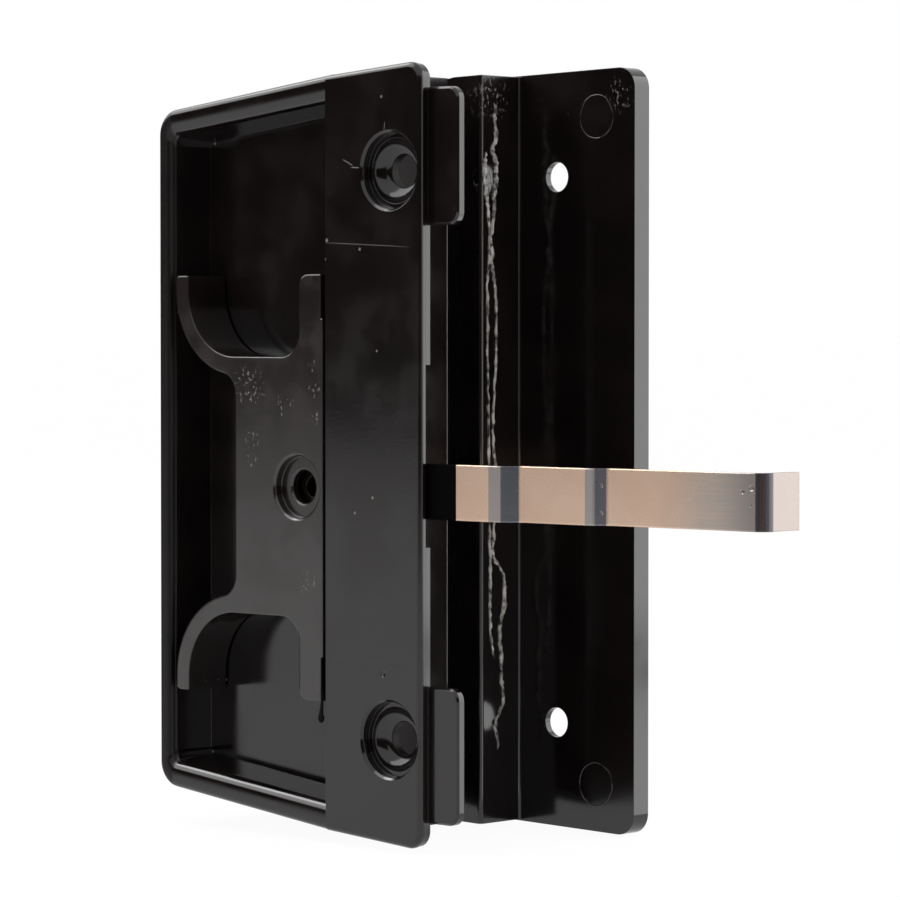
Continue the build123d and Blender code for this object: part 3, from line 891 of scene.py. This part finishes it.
@dataclass
class LatchSet:
    """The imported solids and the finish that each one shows."""

    def dress(self) -> dict[str, bpy.types.Material]:
        """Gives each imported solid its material.

        Returns:
            The materials by the node that wears them.
        """
        finishes = {
            "inside_pull": MouldedPlastic(
                "moulded_abs_inside_pull",
                witness_lines=(
                    Scuff(-5.5, 35.3, -2.8, 16.5, 0.1), Scuff(-6.0, -34.6, -2.8, 14.0, 0.06)),
                scuffs=(
                    Scuff(-9.6, 49.2, -24, 2.2), Scuff(-7.9, 48.3, -4, 1.6),
                    Scuff(-1.0, 55.1, 80, 1.2)),
                flecks=(
                    Spot(-14.6, 0.0, 36.2, 0.5), Spot(-15.0, 0.2, 33.0, 0.45),
                    Spot(-6.8, 0.0, 34.6, 0.4), Spot(-1.7, 0.0, 60.0, 0.35),
                    Spot(-3.8, 0.0, -7.1, 0.45), Spot(-2.8, 0.0, 17.5, 0.3),
                    Spot(-8.0, 0.0, -9.8, 0.4), Spot(-52.2, 9.6, 54.0, 0.45),
                    Spot(-53.0, 9.6, -54.1, 0.4), Spot(-49.5, 9.6, -41.0, 0.4)),
                # A pit, painted darker as shade.
                pits=(Spot(-1.4, 0.0, -36.6, 0.5),),
                # Painted highlight along the inside box's upright edge.
                lit_edge=LitEdge(-8.75, 23.6, 40.0),
                matt=(Spot(0.0, 4.7, 47.625, 3.0), Spot(0.0, 4.7, -47.625, 3.0),
                      Spot(-8.75, 14.0, 47.6, 5.5), Spot(-8.75, 14.0, -47.6, 5.5))),
            "inside_slide": MouldedPlastic(
                "moulded_abs_inside_slide", colour="#120c0a", haze="#1a1310",
                glossy=0.15, dull=0.22, specular=0.8, edge=0.4, flow=8.0, dust=0.09,
                rubbed=(
                    Spot(-33.8, 0.0, 11.2, 4.0), Spot(-24.9, 0.0, 8.0, 2.2),
                    Spot(-33.0, 0.0, 2.6, 2.0), Spot(-33.2, 0.0, -1.4, 1.6),
                    Spot(-17.6, 0.0, 14.8, 1.6), Spot(-17.5, 0.0, 10.8, 1.8),
                    Spot(-17.4, 0.0, 6.3, 1.4), Spot(-19.0, 0.0, -22.0, 2.5))),
            "outside_pull": MouldedPlastic(
                "moulded_abs_outside_pull", dust=0.03,
                rubbed=(Spot(-8.75, 35.0, 61.5, 4.0), Spot(-8.75, 33.6, 47.0, 2.6),
                        Spot(14.5, 42.1, 61.5, 3.0))),
            "outside_slide": MouldedPlastic(
                "moulded_abs_outside_slide", colour="#120c0a", haze="#1a1310", flow=8.0),
            "latch_hook": RolledStainless(
                "rolled_stainless_hook",
                # Painted light and shade: a lit and a shaded wall for each of two press marks,
                # then shade with a thin highlight line across the bend.
                painted_bands=(
                    PaintedBand(21.2, 23.7, "#a8a19e"), PaintedBand(23.7, 26.0, "#6e747b"),
                    PaintedBand(40.2, 42.0, "#aaa5a2"), PaintedBand(42.0, 43.4, "#7b7b86"),
                    PaintedBand(73.9, 74.7, "#4c4a4e"), PaintedBand(74.7, 75.0, "#5e4a44"),
                    PaintedBand(75.0, 75.4, "#4c4a4e"), PaintedBand(75.4, 79.0, "#857d78")),
                # Pits, painted darker as shade.
                pits=(
                    Spot(71.4, 5.8, -4.2, 0.35), Spot(73.2, 5.8, -3.6, 0.45),
                    Spot(73.0, 5.8, -6.3, 0.25), Spot(42.8, 5.0, -4.0, 0.3),
                    Spot(42.8, 5.0, -8.4, 0.3))),
        }
        applied = {}
        for node, finish in finishes.items():
            applied[node] = finish.build()
            for slot in frame["nodes"][node].material_slots:
                slot.material = applied[node]
            LOG.info("%s wears %s", node, finish.name)
        return applied


@dataclass
class Photographer:
    """The camera, worked out from both pulls' screw holes and outlines in the photograph."""

    eye: Point = (0.47726, -0.49153, 0.02166)
    yaw: float = 43.30
    pitch: float = -1.73
    lens: float = 164.0
    sensor: float = 36.0

    def build(self) -> None:
        """Adds the camera and makes it the scene's own."""
        data = bpy.data.cameras.new("camera")
        data.lens = self.lens
        data.sensor_width = self.sensor
        data.clip_start = 0.01
        data.clip_end = 60.0
        camera = bpy.data.objects.new("camera", data)
        bpy.context.scene.collection.objects.link(camera)
        camera.location = self.eye
        camera.rotation_euler = Euler((radians(90 + self.pitch), 0.0, radians(self.yaw)))
        bpy.context.scene.camera = camera


@dataclass(frozen=True)
class Softbox:
    """A square lamp: where it stands, where it looks, its size and how bright its face is."""

    name: str
    place: Point
    aim: Point
    width: float
    height: float
    radiance: float
    colour: str = "#ffffff"

    def build(self) -> None:
        """Adds the lamp, unseen by the camera itself."""
        data = bpy.data.lights.new(self.name, "AREA")
        data.shape = "RECTANGLE"
        data.size = self.width
        data.size_y = self.height
        data.energy = self.radiance * self.width * self.height * pi
        data.color = linear(self.colour)[:3]
        lamp = bpy.data.objects.new(self.name, data)
        bpy.context.scene.collection.objects.link(lamp)
        lamp.location = self.place
        look = Vector(self.aim) - Vector(self.place)
        lamp.rotation_euler = look.to_track_quat("-Z", "Y").to_euler()
        lamp.visible_camera = False


@dataclass
class Studio:
    """A white paper floor, white surroundings, soft lamps and black cards by the room side."""

    floor_gap: float = 0.3
    floor_size: float = 40.0
    ambient: float = 0.9

    def floor(self) -> float:
        """Lays the paper just below the object.

        Returns:
            Its height, in metres.
        """
        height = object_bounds()[0][2] - self.floor_gap * MM
        bpy.ops.object.select_all(action="DESELECT")
        bpy.ops.mesh.primitive_plane_add(size=self.floor_size, location=(0.0, 0.0, height))
        paper = bpy.context.object
        paper.name = "floor"
        paper.data.materials.append(StudioPaper().build())
        paper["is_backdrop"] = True
        return height

    def card(self, name: str, ends: tuple[tuple[float, float], tuple[float, float]], foot: float,
             rise: float, material: bpy.types.Material) -> None:
        """Stands a card up on the floor.

        Args:
            name: The card's name.
            ends: Where its two ends stand, in metres along X and Y.
            foot: The floor's height, in metres.
            rise: How tall it is, in metres.
            material: What it is made of.
        """
        (x0, y0), (x1, y1) = ends
        along = Vector((x1 - x0, y1 - y0, 0.0))
        bpy.ops.object.select_all(action="DESELECT")
        bpy.ops.mesh.primitive_plane_add(size=1.0)
        card = bpy.context.object
        card.name = name
        card.scale = (along.length, rise, 1.0)
        card.location = ((x0 + x1) / 2, (y0 + y1) / 2, foot + rise / 2)
        card.rotation_euler = (radians(90), 0.0, along.to_2d().angle_signed(Vector((1.0, 0.0))))
        apply_place(card)
        card.visible_camera = False
        card.data.materials.append(material)
        card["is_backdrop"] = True

    def world(self) -> None:
        """Surrounds the object with white, at full strength for all but scattered light."""
        world = bpy.data.worlds.new("white_room")
        bpy.context.scene.world = world
        world.use_nodes = True
        tree = world.node_tree
        tree.nodes.clear()
        seen = directly_seen(tree)
        strength = add_node(tree, "ShaderNodeMapRange",
                            {"Value": seen, "To Min": self.ambient, "To Max": 1.0})
        sky = add_node(tree, "ShaderNodeBackground",
                       {"Color": WHITE, "Strength": strength.outputs[0]})
        add_node(tree, "ShaderNodeOutputWorld", {"Surface": sky.outputs[0]})

    def build(self) -> None:
        """Sets up floor, cards, surroundings and lamps."""
        height = self.floor()
        black = BlackCard().build()
        self.card("backdrop_card_front", ((-3.40, 0.04), (0.31, -3.46)), height, 0.65, black)
        self.card("backdrop_card_camera", ((0.08, -0.98), (1.02, -0.31)), height, 0.45, black)
        self.card("backdrop_card_side", ((-0.17, -0.075), (-0.22, 0.06)), height, 0.146, black)
        self.world()
        lamps = (
            Softbox("right_softbox", (0.25, 0.27, 0.14), (0.0, 0.02, 0.1), 0.5, 0.4, 2.4),
            Softbox("right_low_softbox", (0.15, 0.15, height + 0.001), (0.15, 0.15, 1.0),
                    0.24, 0.24, 2.0),
            Softbox("top_softbox", (-0.6, -0.25, 0.65), (0.0, 0.0, 0.0), 1.0, 1.0, 2.4),
            Softbox("key_softbox", (-0.56, -0.17, 0.60), (0.0, 0.0, 0.0), 0.26, 0.26, 4.5),
        )
        for lamp in lamps:
            lamp.build()
            LOG.info("%s stands at %s", lamp.name, lamp.place)
        view = bpy.context.scene.view_settings
        view.view_transform = "Standard"


def main() -> None:
    """Dresses the solids, adds the moulding marks, and sets the studio and the camera."""
    logging.basicConfig(level=logging.INFO, format="%(name)s: %(message)s")
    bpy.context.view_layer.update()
    Photographer().build()
    applied = LatchSet().dress()
    SeamFlash().build()
    PinMark().build(applied["outside_pull"])
    FlashNib().build()
    RimBead().build("rim_bead_inside", at_left=59.4, at_flange=64.4, facing=Facing.ROOM,
                    face_y=0.0, material=applied["inside_pull"])
    RimBead().build("rim_bead_outside", at_left=60.0, at_flange=65.7, facing=Facing.OUTDOORS,
                    face_y=46.4, material=applied["outside_pull"])
    Studio().build()
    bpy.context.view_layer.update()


if __name__ == "__main__":
    main()
